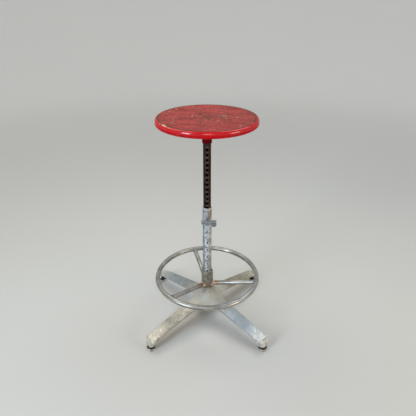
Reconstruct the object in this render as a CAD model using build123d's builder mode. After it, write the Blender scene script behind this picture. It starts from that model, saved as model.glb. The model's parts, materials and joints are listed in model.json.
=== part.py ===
from build123d import *
import os
from math import atan, cos, floor, hypot, radians, sin, tan

# Adjustable artist stool: pressed seat, perforated height post in a tubular column, sliding foot ring
# and a base of two V-shaped pressed leg pairs on swivel glides.
# Millimetres, +Z up. The origin is on the column axis at floor level and -Y is the front.

# Clearances
slide_clearance = 0.08     # radial, between round pieces that slide or turn in one another
fit_clearance = 0.05       # radial, between pieces that are pressed, screwed or brazed together
hub_clearance = 0.3        # each side, between the foot ring's square hub and the round column
rest_gap = 0.3             # between flat faces of pieces that move past each other
seam_gap = 0.4             # between the two leg pairs where they meet under the column

# Seat
seat_diameter = 355.6
seat_height = 851.5
seat_rim = 23.0
seat_sheet = 2.0
seat_top_radius = 9.0
seat_bottom_radius = 6.0
seat_hem = 16.0

# Seat mount and swivel
mount_plate_diameter = 150.0
mount_plate_thickness = 5.0
stud_circle_radius = 57.0
stud_diameter = 6.35
stud_length = 18.0
stud_count = 4
stud_washer_diameter = 16.0
stud_washer_thickness = 1.6
stud_nut_width = 11.1
stud_nut_height = 5.6
collar_diameter = 34.925
collar_length = 86.2
collar_round = 2.8
swivel_screw_drop = 46.0   # below the mount plate
swivel_screw_diameter = 7.9
swivel_dog_diameter = 5.0
swivel_dog_length = 3.0
groove_depth = 1.3
groove_play = 0.6          # each side of the dog point
thrust_washer_thickness = 2.4
post_cap_flange = 4.0
post_cap_depth = 15.0

# Height post
post_diameter = 28.575
post_wall = 2.4
post_bottom = 310.0
post_hole_diameter = 9.525
post_hole_pitch = 19.05
post_hole_margin = 12.0    # least metal between an end hole's centre and the collar or the plug
post_plug_depth = 12.0

# Column
column_diameter = 34.925
column_top = 507.0
column_bottom = 60.0
column_top_chamfer = 0.8
index_hole_diameter = 8.0
index_hole_drop = 44.6     # first hole below the latch's saddle
index_hole_pitch = 33.4
index_hole_count = 7

# Height latch: a spring strip with a finger bar, drawn with the pin just out of the post
pin_height = 451.75
pin_diameter = 6.35
pin_reach = 8.3            # past the strip's outer face, towards the post
pin_head_diameter = 10.0
pin_head_height = 1.5
pin_tip_chamfer = 1.2
pin_hole_diameter = 9.5
latch_tilt = 6.0           # degrees, from the engaged position to the drawn one
latch_drop = 39.25         # from the lock pin down to the bend of the spring strip
leaf_thickness = 1.2
leaf_width = 18.0
leaf_stand_off = 0.5
leaf_root_gap = 0.3
clamp_height = 10.0
rivet_diameter = 4.8
rivet_head_diameter = 7.6
rivet_head_height = 2.2
handle_sheet = 2.5
handle_left = 22.0
handle_right = 35.0
handle_depth = 11.0
handle_height = 10.0
handle_back = 3.0          # how far the top flange reaches back beside the strip
handle_above_pin = 9.5
paddle_width = 19.0
paddle_length = 22.0
paddle_corner = 9.0
handle_corner = 2.5

# Foot ring
ring_radius = 201.8
ring_tube = 19.05
ring_wall = 1.5
ring_rise = 50.8           # centre line above the hub's lower end
spoke_diameter = 17.5
spoke_wall = 1.5
spoke_count = 3
spoke_first_angle = 106.7
spoke_root_rise = 10.5
spoke_vent_diameter = 5.0
hub_height = 81.4
hub_wall = 2.6
hub_corner = 7.0
bead_leg = 4.0             # height of the braze round a spoke at the hub's face
bead_length = 14.0         # reach of the braze along the spoke from the hub's face
hub_boss_diameter = 16.0
hub_boss_height = 7.0
hub_screw_rise = 58.0
hub_screw_diameter = 7.9
hub_screw_head = 11.0
hub_screw_head_height = 9.0
hub_screw_stand_out = 5.0
hub_screw_tip_gap = 0.4

# Base
leg_count = 4
foot_circle_radius = 305.0
leg_root_width = 64.0
leg_foot_width = 44.0
leg_sheet = 3.0
side_notch_radius = 44.0
web_notch_radius = 76.0
crown_height = 134.0
crown_radius = 24.0
crown_bend = 10.0
skirt_radius = 64.0
skirt_height = 92.0
skirt_bend = 30.0
knee_height = 48.6
knee_bend = 20.0
toe_reach = 15.0           # toe end beyond the glide's centre
toe_lean = 8.0             # knee set back from the toe end
toe_flat = 2.8             # straight part across the toe's end, between its round corners
foot_height = 24.0
heel_reach = 17.0          # heel behind the glide's centre
heel_lean = 3.0
heel_rise = 6.0            # heel's lower edge above the toe's
heel_bend = 9.0
flange_depth = 7.0
shoulder_thickness = 5.6
shoulder_diameter = 46.0
tie_bar_width = 56.0
tie_bar_thickness = 5.0
tie_bar_inset = 1.0        # tie bar's ends inside the notches between the legs
tie_bar_corner = 8.0
column_nut_width = 50.0
column_nut_height = 9.0

# Glides
glide_diameter = 36.0
glide_disc_height = 9.5
glide_round = 2.5
glide_socket_depth = 3.0
cushion_diameter = 31.0
stem_diameter = 6.35
stem_top = 40.0
boss_diameter = 16.0
boss_bottom = 27.0
lock_nut_width = 11.1
lock_nut_height = 5.6

# Derived radii
column_radius = column_diameter / 2
post_radius = post_diameter / 2
column_bore = post_radius + slide_clearance
post_bore = post_radius - post_wall
ring_tube_radius = ring_tube / 2
spoke_radius = spoke_diameter / 2
stem_radius = stem_diameter / 2

# Derived heights
seat_inner_top = seat_height - seat_sheet
plate_bottom = seat_inner_top - mount_plate_thickness
collar_bottom = plate_bottom - collar_length
washer_bottom = plate_bottom - rest_gap - thrust_washer_thickness
post_top = washer_bottom - post_cap_flange
shoulder_top = crown_height + shoulder_thickness
hub_bottom = shoulder_top
ring_height = hub_bottom + ring_rise
spoke_root_height = hub_bottom + spoke_root_rise
latch_pivot_height = pin_height - latch_drop
clamp_bottom = latch_pivot_height - leaf_root_gap - clamp_height
rivet_height = clamp_bottom + clamp_height / 2
index_hole_top = clamp_bottom - index_hole_drop
cushion_height = boss_bottom - lock_nut_height - rest_gap - glide_disc_height

# Derived plan of the base
foot_angles = {"rear_right": 45, "rear_left": 135, "front_left": 225, "front_right": 315}
spoke_angles = [spoke_first_angle + 360 / spoke_count * i for i in range(spoke_count)]
toe_radius = foot_circle_radius + toe_reach
knee_radius = toe_radius - toe_lean
leg_slope = (skirt_height - knee_height) / (knee_radius - skirt_radius)

os.makedirs("parts", exist_ok=True)


def on_circle(radius, angle, height=0.0):
    """Point at a plan angle in degrees about the column axis."""
    return (radius * cos(radians(angle)), radius * sin(radians(angle)), height)


def upright(depth, height, towards):
    """Upright plane at a depth along Y and a height, facing the back (1) or the front (-1)."""
    return Plane((0, depth, height), x_dir=(1, 0, 0), z_dir=(0, towards, 0))


def leg_top_at(radius):
    """Height of the straight part of a leg's top at a distance from the column axis."""
    return skirt_height - leg_slope * (radius - skirt_radius)


# Seat pan: flat top, rounded edges, rim turned down and hemmed inwards
with BuildPart() as seat_pan:
    with BuildSketch(Plane.XZ) as seat_section:
        with Locations((0, seat_height)):
            Rectangle(seat_diameter / 2, seat_rim, align=(Align.MIN, Align.MAX))
        rim_corners = seat_section.vertices().group_by(Axis.X)[-1].sort_by(Axis.Y)
        fillet(rim_corners[-1], seat_top_radius)
        outer_low = seat_section.vertices().sort_by(Axis.Y)[:2].sort_by(Axis.X)[-1]
        fillet(outer_low, seat_bottom_radius)
    revolve(axis=Axis.Z)
    with BuildSketch(Plane.XZ) as seat_hollow:
        with Locations((0, seat_inner_top)):
            Rectangle(
                seat_diameter / 2 - seat_sheet,
                seat_rim - 2 * seat_sheet,
                align=(Align.MIN, Align.MAX),
            )
        hollow_corners = seat_hollow.vertices().group_by(Axis.X)[-1].sort_by(Axis.Y)
        fillet(hollow_corners[-1], seat_top_radius - seat_sheet)
        inner_low = seat_hollow.vertices().sort_by(Axis.Y)[:2].sort_by(Axis.X)[-1]
        fillet(inner_low, seat_bottom_radius - seat_sheet)
        with Locations((0, seat_height - seat_rim)):
            Rectangle(seat_diameter / 2 - seat_hem, 2 * seat_sheet, align=(Align.MIN, Align.CENTER))
    revolve(axis=Axis.Z, mode=Mode.SUBTRACT)
seat_pan.part.label = "seat_pan"
export_step(seat_pan.part, "parts/seat_pan.step")

# Seat mount plate with clearance holes for the studs
with BuildPart() as seat_mount_plate:
    with BuildSketch(Plane.XY.offset(plate_bottom)):
        Circle(mount_plate_diameter / 2)
        with PolarLocations(stud_circle_radius, stud_count):
            Circle(stud_diameter / 2 + fit_clearance, mode=Mode.SUBTRACT)
    extrude(amount=mount_plate_thickness)
seat_mount_plate.part.label = "seat_mount_plate"
export_step(seat_mount_plate.part, "parts/seat_mount_plate.step")

# Studs welded to the underside of the pan
with BuildPart() as seat_studs:
    with BuildSketch(Plane.XY.offset(seat_inner_top)):
        with PolarLocations(stud_circle_radius, stud_count):
            Circle(stud_diameter / 2)
    extrude(amount=-stud_length)
seat_studs.part.label = "seat_studs"
export_step(seat_studs.part, "parts/seat_studs.step")

with BuildPart() as seat_washers:
    with BuildSketch(Plane.XY.offset(plate_bottom)):
        with PolarLocations(stud_circle_radius, stud_count):
            Circle(stud_washer_diameter / 2)
            Circle(stud_diameter / 2 + fit_clearance, mode=Mode.SUBTRACT)
    extrude(amount=-stud_washer_thickness)
seat_washers.part.label = "seat_washers"
export_step(seat_washers.part, "parts/seat_washers.step")

with BuildPart() as seat_nuts:
    with BuildSketch(Plane.XY.offset(plate_bottom - stud_washer_thickness)):
        with PolarLocations(stud_circle_radius, stud_count):
            RegularPolygon(stud_nut_width / 2, 6, major_radius=False)
            Circle(stud_diameter / 2 + fit_clearance, mode=Mode.SUBTRACT)
    extrude(amount=-stud_nut_height)
seat_nuts.part.label = "seat_nuts"
export_step(seat_nuts.part, "parts/seat_nuts.step")

# Swivel collar under the seat, with a tapped hole at the back for the swivel screw
swivel_screw_height = plate_bottom - swivel_screw_drop
with BuildPart() as seat_collar:
    with BuildSketch(Plane.XY.offset(collar_bottom)):
        Circle(collar_diameter / 2)
        Circle(column_bore, mode=Mode.SUBTRACT)
    extrude(amount=collar_length)
    collar_edge = seat_collar.edges().group_by(Axis.Z)[0].sort_by(SortBy.RADIUS)[-1:]
    fillet(collar_edge, min(collar_round, collar_diameter / 2 - column_bore - fit_clearance))
    with BuildSketch(upright(0, swivel_screw_height, 1)):
        Circle(swivel_screw_diameter / 2 + fit_clearance)
    extrude(amount=collar_diameter, mode=Mode.SUBTRACT)
seat_collar.part.label = "seat_collar"
export_step(seat_collar.part, "parts/seat_collar.step")

# Swivel screw: sunk in the collar, its dog point in the post's groove
groove_radius = post_radius - groove_depth
dog_tip = groove_radius + rest_gap
with BuildPart() as swivel_screw:
    with BuildSketch(upright(dog_tip, swivel_screw_height, 1)):
        Circle(swivel_dog_diameter / 2)
    extrude(amount=swivel_dog_length)
    with BuildSketch(upright(column_bore + rest_gap, swivel_screw_height, 1)):
        Circle(swivel_screw_diameter / 2)
    extrude(amount=collar_diameter / 2 - column_bore - rest_gap)
swivel_screw.part.label = "swivel_screw"
export_step(swivel_screw.part, "parts/swivel_screw.step")

# Height post: a row of holes up its front, a groove for the swivel screw near the top
holes_above_pin = floor((collar_bottom - post_hole_margin - pin_height) / post_hole_pitch)
holes_below_pin = floor((pin_height - post_bottom - post_plug_depth - post_hole_margin) / post_hole_pitch)
post_hole_heights = [
    pin_height + post_hole_pitch * step for step in range(-holes_below_pin, holes_above_pin + 1)
]
with BuildPart() as height_post:
    with BuildSketch(Plane.XY.offset(post_bottom)):
        Circle(post_radius)
        Circle(post_bore, mode=Mode.SUBTRACT)
    extrude(amount=post_top - post_bottom)
    with BuildSketch(Plane.XZ) as post_holes:
        with Locations([(0, height) for height in post_hole_heights]):
            Circle(post_hole_diameter / 2)
    extrude(amount=post_diameter, mode=Mode.SUBTRACT)
    with BuildSketch(Plane.XY.offset(swivel_screw_height - swivel_dog_diameter / 2 - groove_play)):
        Circle(post_diameter)
        Circle(groove_radius, mode=Mode.SUBTRACT)
    extrude(amount=swivel_dog_diameter + 2 * groove_play, mode=Mode.SUBTRACT)
height_post.part.label = "height_post"
export_step(height_post.part, "parts/height_post.step")

# Post cap: plug with a flange that closes the top of the post
with BuildPart() as post_cap:
    with BuildSketch(Plane.XY.offset(post_top - post_cap_depth)):
        Circle(post_bore - fit_clearance)
    extrude(amount=post_cap_depth)
    with BuildSketch(Plane.XY.offset(post_top)):
        Circle(post_radius)
    extrude(amount=post_cap_flange)
post_cap.part.label = "post_cap"
export_step(post_cap.part, "parts/post_cap.step")

with BuildPart() as thrust_washer:
    with BuildSketch(Plane.XY.offset(washer_bottom)):
        Circle(post_radius)
    extrude(amount=thrust_washer_thickness)
thrust_washer.part.label = "thrust_washer"
export_step(thrust_washer.part, "parts/thrust_washer.step")

with BuildPart() as post_plug:
    with BuildSketch(Plane.XY.offset(post_bottom)):
        Circle(post_bore - fit_clearance)
    extrude(amount=post_plug_depth)
post_plug.part.label = "post_plug"
export_step(post_plug.part, "parts/post_plug.step")

# Column: index holes right through, a hole for the lock pin and one for the latch rivet
index_hole_heights = [index_hole_top - index_hole_pitch * step for step in range(index_hole_count)]
with BuildPart() as column_tube:
    with BuildSketch(Plane.XY.offset(column_bottom)):
        Circle(column_radius)
        Circle(column_bore, mode=Mode.SUBTRACT)
    extrude(amount=column_top - column_bottom)
    chamfer(column_tube.edges().group_by(Axis.Z)[-1], column_top_chamfer)
    with BuildSketch(Plane.XZ) as index_holes:
        with Locations([(0, height) for height in index_hole_heights]):
            Circle(index_hole_diameter / 2)
    extrude(amount=column_diameter, both=True, mode=Mode.SUBTRACT)
    with BuildSketch(Plane.XZ) as latch_holes:
        with Locations((0, pin_height)):
            Circle(pin_hole_diameter / 2)
        with Locations((0, rivet_height)):
            Circle(rivet_diameter / 2 + fit_clearance)
    extrude(amount=column_diameter, mode=Mode.SUBTRACT)
column_tube.part.label = "column_tube"
export_step(column_tube.part, "parts/column_tube.step")

# Shoulder ring brazed to the column: it bears on the crown and carries the foot ring's hub
with BuildPart() as column_shoulder:
    with BuildSketch(Plane.XY.offset(crown_height)):
        Circle(shoulder_diameter / 2)
        Circle(column_radius + fit_clearance, mode=Mode.SUBTRACT)
    extrude(amount=shoulder_thickness)
column_shoulder.part.label = "column_shoulder"
export_step(column_shoulder.part, "parts/column_shoulder.step")

# Latch root: saddle plate and rivet on the front of the column
leaf_inner = column_radius + leaf_stand_off
leaf_outer = leaf_inner + leaf_thickness
latch_pivot_y = -(leaf_inner + leaf_outer) / 2
with BuildPart() as latch_clamp:
    with BuildSketch(Plane.XY.offset(clamp_bottom)):
        Circle(leaf_outer)
        Circle(column_radius + fit_clearance, mode=Mode.SUBTRACT)
        with Locations((0, -column_diameter)):
            Rectangle(leaf_width, 2 * column_diameter, mode=Mode.INTERSECT)
    extrude(amount=clamp_height)
    with BuildSketch(Plane.XZ):
        with Locations((0, rivet_height)):
            Circle(rivet_diameter / 2 + fit_clearance)
    extrude(amount=column_diameter, mode=Mode.SUBTRACT)
latch_clamp.part.label = "latch_clamp"
export_step(latch_clamp.part, "parts/latch_clamp.step")

with BuildPart() as latch_rivet:
    with BuildSketch(upright(-column_bore - fit_clearance, rivet_height, -1)):
        Circle(rivet_diameter / 2)
    extrude(amount=leaf_outer - column_bore - fit_clearance)
    with BuildSketch(upright(-leaf_outer, rivet_height, -1)):
        Circle(rivet_head_diameter / 2)
    extrude(amount=rivet_head_height)
    fillet(latch_rivet.edges().group_by(Axis.Y)[0], rivet_head_height - fit_clearance)
latch_rivet.part.label = "latch_rivet"
export_step(latch_rivet.part, "parts/latch_rivet.step")

# Moving latch pieces are drawn in a frame at the pivot, tilted outwards by the latch's rest angle.
# Its local Z runs up the strip and its local Y towards the column.
tilt = radians(latch_tilt)
latch_frame = Plane(
    (0, latch_pivot_y, latch_pivot_height), x_dir=(1, 0, 0), z_dir=(0, -sin(tilt), cos(tilt))
)
leaf_face = -leaf_thickness / 2
handle_top = latch_drop + handle_above_pin


def facing_front(depth, rise):
    """Plane that faces the front, at a depth and a rise in the latch frame."""
    return Plane(
        latch_frame.from_local_coords(Vector(0, depth, rise)), x_dir=(1, 0, 0), z_dir=-latch_frame.y_dir
    )


with BuildPart() as latch_leaf:
    with BuildSketch(latch_frame):
        with Locations((0, -latch_pivot_y)):
            Circle(leaf_outer)
            Circle(leaf_inner, mode=Mode.SUBTRACT)
            Rectangle(leaf_width, column_diameter, align=(Align.CENTER, Align.MAX), mode=Mode.INTERSECT)
    extrude(amount=handle_top)
    with BuildSketch(facing_front(0, latch_drop)):
        Circle(pin_diameter / 2 + fit_clearance)
    extrude(amount=column_diameter, both=True, mode=Mode.SUBTRACT)
latch_leaf.part.label = "latch_leaf"
export_step(latch_leaf.part, "parts/latch_leaf.step")

# Finger bar: top flange welded to the strip, front lip, and a rounded paddle at the right-hand end
with BuildPart() as latch_handle:
    with BuildSketch(latch_frame.offset(handle_top - handle_sheet)):
        with Locations((-handle_left, leaf_face - handle_depth)):
            Rectangle(handle_left + handle_right, handle_depth + handle_back, align=Align.MIN)
        with Locations((0, -latch_pivot_y)):
            Circle(leaf_outer + fit_clearance, mode=Mode.SUBTRACT)
    extrude(amount=handle_sheet)
    with BuildSketch(facing_front(leaf_face - handle_depth, handle_top)) as handle_lip:
        with Locations((-handle_left, 0)):
            Rectangle(handle_left + handle_right, handle_height, align=(Align.MIN, Align.MAX))
        with Locations((handle_right, 0)):
            Rectangle(paddle_width, paddle_length, align=Align.MAX)
        fillet(handle_lip.vertices().group_by(Axis.Y)[0], paddle_corner)
        bar_underside = handle_lip.vertices().filter_by_position(
            Axis.Y, -handle_height - fit_clearance, -handle_height + fit_clearance
        )
        fillet(bar_underside.sort_by(Axis.X)[:2], handle_corner)
    extrude(amount=-handle_sheet)
latch_handle.part.label = "latch_handle"
export_step(latch_handle.part, "parts/latch_handle.step")

# Lock pin: headed pin through the strip, chamfered where it enters the post
with BuildPart() as lock_pin:
    with BuildSketch(facing_front(leaf_face + pin_reach, latch_drop)):
        Circle(pin_diameter / 2)
    extrude(amount=pin_reach)
    chamfer(lock_pin.edges().sort_by(Axis.Y)[-1:], pin_tip_chamfer)
    with BuildSketch(facing_front(leaf_face, latch_drop)):
        Circle(pin_head_diameter / 2)
    extrude(amount=pin_head_height)
lock_pin.part.label = "lock_pin"
export_step(lock_pin.part, "parts/lock_pin.step")

# Foot ring: a hoop of tube, vented where each spoke meets it
hub_half_bore = column_radius + hub_clearance
hub_half_width = hub_half_bore + hub_wall
spoke_reach = hypot(ring_radius, ring_height - spoke_root_height)
hub_frame = Plane((0, 0, hub_bottom), x_dir=on_circle(1, spoke_first_angle), z_dir=(0, 0, 1))


def spoke_frame(angle):
    """Plane across a spoke at the column axis, facing outwards along the spoke."""
    rise = (ring_height - spoke_root_height) / spoke_reach
    return Plane((0, 0, spoke_root_height), z_dir=on_circle(ring_radius / spoke_reach, angle, rise))


with BuildPart() as foot_ring:
    with BuildSketch(Plane.XZ):
        with Locations((ring_radius, ring_height)):
            Circle(ring_tube_radius)
            Circle(ring_tube_radius - ring_wall, mode=Mode.SUBTRACT)
    revolve(axis=Axis.Z)
    for angle in spoke_angles:
        with BuildSketch(spoke_frame(angle)):
            Circle(spoke_vent_diameter / 2)
        extrude(amount=spoke_reach, mode=Mode.SUBTRACT)
foot_ring.part.label = "foot_ring"
export_step(foot_ring.part, "parts/foot_ring.step")

# Outer shapes that the spokes are coped to, a little larger than the pieces themselves
with BuildPart() as ring_envelope:
    with BuildSketch(Plane.XZ):
        with Locations((ring_radius, ring_height)):
            Circle(ring_tube_radius + fit_clearance)
    revolve(axis=Axis.Z)

with BuildPart() as hub_envelope:
    with BuildSketch(hub_frame):
        RectangleRounded(
            2 * (hub_half_width + fit_clearance), 2 * (hub_half_width + fit_clearance), hub_corner
        )
    extrude(amount=hub_height)

# Spokes: tubes that rise from the hub to the hoop
for number, angle in enumerate(spoke_angles, start=1):
    with BuildPart() as spoke:
        with BuildSketch(spoke_frame(angle)):
            Circle(spoke_radius)
            Circle(spoke_radius - spoke_wall, mode=Mode.SUBTRACT)
        extrude(amount=spoke_reach)
        add(hub_envelope.part, mode=Mode.SUBTRACT)
        add(ring_envelope.part, mode=Mode.SUBTRACT)
    spoke.part.label = f"ring_spoke_{number}"
    export_step(spoke.part, f"parts/ring_spoke_{number}.step")

# Hub: rounded square sleeve round the column, with a hole for its clamp screw at the back
hub_screw_frame = Plane(
    (0, 0, hub_bottom + hub_screw_rise), x_dir=(0, 0, 1), z_dir=on_circle(1, spoke_first_angle)
)
with BuildPart() as ring_hub:
    with BuildSketch(hub_frame):
        RectangleRounded(2 * hub_half_width, 2 * hub_half_width, hub_corner)
        RectangleRounded(
            2 * hub_half_bore, 2 * hub_half_bore, hub_corner - hub_wall, mode=Mode.SUBTRACT
        )
    extrude(amount=hub_height)
    with BuildSketch(hub_screw_frame):
        Circle(hub_screw_diameter / 2 + slide_clearance)
    extrude(amount=column_diameter, mode=Mode.SUBTRACT)
ring_hub.part.label = "ring_hub"
export_step(ring_hub.part, "parts/ring_hub.step")

# Braze beads: tapered collars round the spokes' roots
with BuildPart() as braze_beads:
    for angle in spoke_angles:
        with BuildSketch(spoke_frame(angle).offset(hub_half_width - bead_length)):
            Circle(spoke_radius + 2 * bead_leg)
        with BuildSketch(spoke_frame(angle).offset(hub_half_width + bead_length)):
            Circle(spoke_radius + 2 * fit_clearance)
        loft()
    for angle in spoke_angles:
        with BuildSketch(spoke_frame(angle)):
            Circle(spoke_radius + fit_clearance)
        extrude(amount=spoke_reach, mode=Mode.SUBTRACT)
    add(hub_envelope.part, mode=Mode.SUBTRACT)
    split(bisect_by=Plane.XY.offset(hub_bottom), keep=Keep.TOP)
braze_beads.part.label = "braze_beads"
export_step(braze_beads.part, "parts/braze_beads.step")

# Clamp screw of the hub and the boss that it is tapped into
with BuildPart() as hub_boss:
    with BuildSketch(hub_screw_frame.offset(hub_half_width)):
        Circle(hub_boss_diameter / 2)
        Circle(hub_screw_diameter / 2 + slide_clearance, mode=Mode.SUBTRACT)
    extrude(amount=hub_boss_height)
hub_boss.part.label = "hub_boss"
export_step(hub_boss.part, "parts/hub_boss.step")

with BuildPart() as hub_screw:
    with BuildSketch(hub_screw_frame.offset(column_radius + hub_screw_tip_gap)):
        Circle(hub_screw_diameter / 2)
    extrude(amount=hub_half_width + hub_boss_height + hub_screw_stand_out - column_radius)
    with BuildSketch(hub_screw_frame.offset(hub_half_width + hub_boss_height + hub_screw_stand_out)):
        Rectangle(hub_screw_head, hub_screw_head)
    extrude(amount=hub_screw_head_height)
hub_screw.part.label = "hub_screw"
export_step(hub_screw.part, "parts/hub_screw.step")

# Base pressings. Seen from above, four tapered arms make a cross with rounded notches between them.
arm_taper = (leg_root_width - leg_foot_width) / 2 / foot_circle_radius
leg_end_half = leg_root_width / 2 - arm_taper * (toe_radius + leg_sheet)


def notch_distance(notch_radius):
    """Distance from the column axis to the middle of a rounded notch between two arms."""
    half_angle = radians(180 / leg_count)
    corner = leg_root_width / 2 / (sin(half_angle) + arm_taper * cos(half_angle))
    return corner + notch_radius * (1 / sin(half_angle + atan(arm_taper)) - 1)


def leg_plan(inset):
    """Sketch of the four arms, drawn in by an inset all round."""
    with BuildSketch() as plan:
        for angle in foot_angles.values():
            with BuildSketch(mode=Mode.PRIVATE) as arm:
                with BuildLine():
                    Polyline(
                        (0, -leg_root_width / 2),
                        (toe_radius + leg_sheet, -leg_end_half),
                        (toe_radius + leg_sheet, leg_end_half),
                        (0, leg_root_width / 2),
                        close=True,
                    )
                make_face()
                fillet(arm.vertices().group_by(Axis.X)[-1], leg_end_half - toe_flat / 2)
            add(arm.sketch, rotation=angle)
        notches = plan.vertices().sort_by_distance((0, 0))[:leg_count]
        fillet(notches.sort_by(Axis.X)[:1] + notches.sort_by(Axis.X)[-1:], side_notch_radius)
        notches = plan.vertices().sort_by_distance((0, 0))[: leg_count // 2]
        fillet(notches, web_notch_radius)
        if inset:
            offset(amount=-inset)
    return plan.sketch


def leg_crest(inset):
    """Points of a leg's top from the column out to the toe, drawn in by an inset."""
    return [
        (0, crown_height - inset),
        (crown_radius - inset, crown_height - inset),
        (skirt_radius - inset, skirt_height - inset),
        (knee_radius - inset, knee_height - inset),
        (toe_radius - inset, foot_height - inset),
    ]


def on_crest(edge):
    """Whether an edge runs along the top of a leg's wall."""
    middle = edge.position_at(0.5)
    lowest = leg_top_at(hypot(middle.X, middle.Y)) - flange_depth / 2
    return edge.geom_type != GeomType.LINE and middle.Z > lowest


web_notch = notch_distance(web_notch_radius)
bearing_radius = hypot(web_notch, tie_bar_width / 2)
tie_bar_top = leg_top_at(bearing_radius) - flange_depth
heel_radius = foot_circle_radius - heel_reach
heel_top_radius = heel_radius - heel_lean
crest_bends = [crown_bend, skirt_bend, knee_bend]

with BuildPart() as leg_body:
    add(leg_plan(0))
    extrude(amount=crown_height)
    with BuildSketch(Plane.XZ) as leg_section:
        with BuildLine():
            FilletPolyline(*leg_crest(0), radius=crest_bends)
            FilletPolyline(
                (toe_radius, foot_height),
                (heel_radius, foot_height + heel_rise),
                (heel_top_radius, leg_top_at(heel_top_radius) - flange_depth),
                (bearing_radius, tie_bar_top),
                (0, tie_bar_top),
                radius=[0, heel_bend, 0],
            )
            Line((0, tie_bar_top), (0, crown_height))
        make_face()
    revolve(axis=Axis.Z, mode=Mode.INTERSECT)
    walls = leg_body.faces().filter_by(lambda face: abs(face.normal_at().Z) < tan(radians(1)))
    wall_tops = ShapeList(edge for wall in walls for edge in wall.edges() if on_crest(edge))
    fillet(wall_tops, leg_sheet)

with BuildPart() as leg_space:
    add(leg_plan(leg_sheet))
    extrude(amount=crown_height)
    with BuildSketch(Plane.XZ) as space_section:
        with BuildLine():
            FilletPolyline(*leg_crest(leg_sheet), radius=crest_bends)
            Polyline(
                (toe_radius - leg_sheet, foot_height - leg_sheet),
                (toe_radius - leg_sheet, 0),
                (0, 0),
                (0, crown_height - leg_sheet),
            )
        make_face()
    revolve(axis=Axis.Z, mode=Mode.INTERSECT)

with BuildPart() as leg_cross:
    add(leg_body.part)
    add(leg_space.part, mode=Mode.SUBTRACT)
    with BuildSketch(Plane.XY):
        Circle(column_radius + fit_clearance)
    extrude(amount=crown_height, mode=Mode.SUBTRACT)

with BuildPart() as front_leg_pair:
    add(leg_cross.part)
    split(bisect_by=Plane.XZ.offset(seam_gap / 2), keep=Keep.TOP)
front_leg_pair.part.label = "front_leg_pair"
export_step(front_leg_pair.part, "parts/front_leg_pair.step")

with BuildPart() as rear_leg_pair:
    add(leg_cross.part)
    split(bisect_by=Plane.XZ.offset(-seam_gap / 2), keep=Keep.BOTTOM)
rear_leg_pair.part.label = "rear_leg_pair"
export_step(rear_leg_pair.part, "parts/rear_leg_pair.step")

# Tie bar under the crown, from web to web: the webs' flanges stand on it and the column nut pulls it up
nut_top = tie_bar_top - tie_bar_thickness
with BuildPart() as base_tie_bar:
    with BuildSketch(Plane.XY.offset(nut_top)):
        RectangleRounded(tie_bar_width, 2 * (web_notch - tie_bar_inset), tie_bar_corner)
        Circle(column_radius + fit_clearance, mode=Mode.SUBTRACT)
    extrude(amount=tie_bar_thickness)
base_tie_bar.part.label = "base_tie_bar"
export_step(base_tie_bar.part, "parts/base_tie_bar.step")

with BuildPart() as column_nut:
    with BuildSketch(Plane.XY.offset(nut_top)):
        RegularPolygon(column_nut_width / 2, 6, major_radius=False)
        Circle(column_radius + fit_clearance, mode=Mode.SUBTRACT)
    extrude(amount=-column_nut_height)
column_nut.part.label = "column_nut"
export_step(column_nut.part, "parts/column_nut.step")

# Lock nuts of the glides, jammed up against the bosses
with BuildPart() as glide_lock_nuts:
    with BuildSketch(Plane.XY.offset(boss_bottom)):
        with Locations([on_circle(foot_circle_radius, angle) for angle in foot_angles.values()]):
            RegularPolygon(lock_nut_width / 2, 6, major_radius=False)
            Circle(stem_radius + slide_clearance, mode=Mode.SUBTRACT)
    extrude(amount=-lock_nut_height)
glide_lock_nuts.part.label = "glide_lock_nuts"
export_step(glide_lock_nuts.part, "parts/glide_lock_nuts.step")

# Each foot: a tapped boss welded up inside the leg, and a glide of steel disc, cushion and stem
for corner, angle in foot_angles.items():
    foot = on_circle(foot_circle_radius, angle)
    disc_top = Plane.XY.offset(glide_disc_height)

    with BuildPart() as glide_boss:
        with BuildSketch(Plane.XY.offset(boss_bottom)):
            with Locations(foot):
                Circle(boss_diameter / 2)
        extrude(amount=crown_height)
        add(leg_space.part, mode=Mode.INTERSECT)
        with BuildSketch(Plane.XY.offset(boss_bottom)):
            with Locations(foot):
                Circle(stem_radius + slide_clearance)
        extrude(amount=stem_top + rest_gap - boss_bottom, mode=Mode.SUBTRACT)
    glide_boss.part.label = f"glide_boss_{corner}"
    export_step(glide_boss.part, f"parts/glide_boss_{corner}.step")

    with BuildPart() as glide_disc:
        with BuildSketch(Plane.XY):
            with Locations(foot):
                Circle(glide_diameter / 2)
        extrude(amount=glide_disc_height)
        fillet(glide_disc.edges(), glide_round)
        with BuildSketch(disc_top):
            with Locations(foot):
                Circle(stem_radius + fit_clearance)
        extrude(amount=-glide_socket_depth, mode=Mode.SUBTRACT)
    glide_disc.part.label = f"glide_disc_{corner}"
    export_step(glide_disc.part, f"parts/glide_disc_{corner}.step")

    with BuildPart() as glide_cushion:
        with BuildSketch(disc_top):
            with Locations(foot):
                Circle(cushion_diameter / 2)
                Circle(stem_radius + fit_clearance, mode=Mode.SUBTRACT)
        extrude(amount=cushion_height)
    glide_cushion.part.label = f"glide_cushion_{corner}"
    export_step(glide_cushion.part, f"parts/glide_cushion_{corner}.step")

    with BuildPart() as glide_stem:
        with BuildSketch(Plane.XY.offset(glide_disc_height - glide_socket_depth)):
            with Locations(foot):
                Circle(stem_radius)
        extrude(amount=stem_top - glide_disc_height + glide_socket_depth)
    glide_stem.part.label = f"glide_stem_{corner}"
    export_step(glide_stem.part, f"parts/glide_stem_{corner}.step")
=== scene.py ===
import json
from math import cos, hypot, radians, sin

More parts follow.
